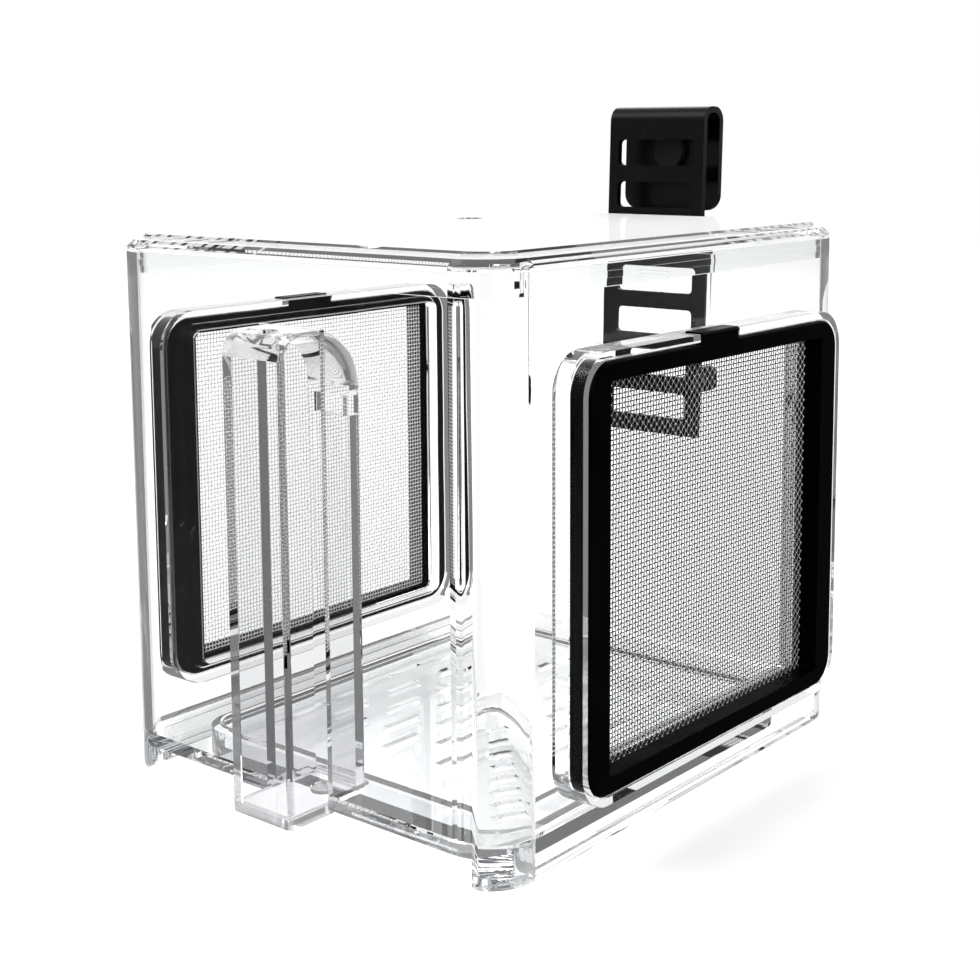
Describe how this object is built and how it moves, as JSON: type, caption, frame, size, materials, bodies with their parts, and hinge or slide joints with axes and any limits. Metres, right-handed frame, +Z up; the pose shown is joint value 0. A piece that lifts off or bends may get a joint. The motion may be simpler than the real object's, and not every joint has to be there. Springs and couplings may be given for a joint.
{
  "type": "fish breeding box",
  "caption": "Clear hang-on fish breeding box with lid, black-framed mesh windows, air-lift chamber, slotted floor plate and a black ladder hook.",
  "frame": {"origin": "on the resting plane under the runners, below the middle of the overall box", "axes": "+Z up, +X to the right seen from the chamber side, -Y towards the air-lift chamber, +Y towards the hook and the aquarium wall"},
  "size_m": [0.1226, 0.1618, 0.1453],
  "materials": {
    "clear_plastic": "clear polished moulding",
    "black_plastic": "satin black moulding",
    "black_rubber": "matt black rubber",
    "steel_mesh": "fine woven wire"
  },
  "bodies": {
    "box": {"box_body": "clear_plastic", "airlift_chamber": "clear_plastic", "chamber_base": "clear_plastic", "hook_bracket": "clear_plastic", "right_bumper": "black_rubber", "left_bumper": "black_rubber"},
    "lid": {"lid": "clear_plastic"},
    "floor_plate": {"floor_plate": "clear_plastic"},
    "right_window": {"right_mesh_frame": "black_plastic", "right_mesh": "steel_mesh", "right_mesh_ring": "black_plastic"},
    "left_window": {"left_mesh_frame": "black_plastic", "left_mesh": "steel_mesh", "left_mesh_ring": "black_plastic"},
    "hanger": {"ladder_hook": "black_plastic"},
    "pad": {"clamp_pad": "black_rubber"},
    "screw": {"clamp_screw": "black_plastic"}
  },
  "joints": [
    {"name": "lid_lift", "type": "slide", "parent": "box", "child": "lid", "axis": [0, 0, 1], "range_m": [0, 0.06]},
    {"name": "plate_lift", "type": "slide", "parent": "box", "child": "floor_plate", "axis": [0, 0, 1], "range_m": [0, 0.085]},
    {"name": "right_window_pull", "type": "slide", "parent": "box", "child": "right_window", "axis": [1, 0, 0], "range_m": [0, 0.025]},
    {"name": "left_window_pull", "type": "slide", "parent": "box", "child": "left_window", "axis": [-1, 0, 0], "range_m": [0, 0.025]},
    {"name": "hook_slide", "type": "slide", "parent": "box", "child": "hanger", "axis": [0, 0.0384, 0.9993], "range_m": [-0.0321, 0.0107]},
    {"name": "pad_travel", "type": "slide", "parent": "hanger", "child": "pad", "axis": [0, -0.9993, 0.0384], "range_m": [0, 0.003]},
    {"name": "screw_turn", "type": "hinge", "parent": "pad", "child": "screw", "pos_m": [-0.0022, 0.06954, 0.13407], "axis": [0, -0.9993, 0.0384], "range_deg": [0, 1350.1]}
  ],
  "couplings": [
    {"joint": "screw_turn", "follows": "pad_travel", "rad_per_m": 7854}
  ]
}
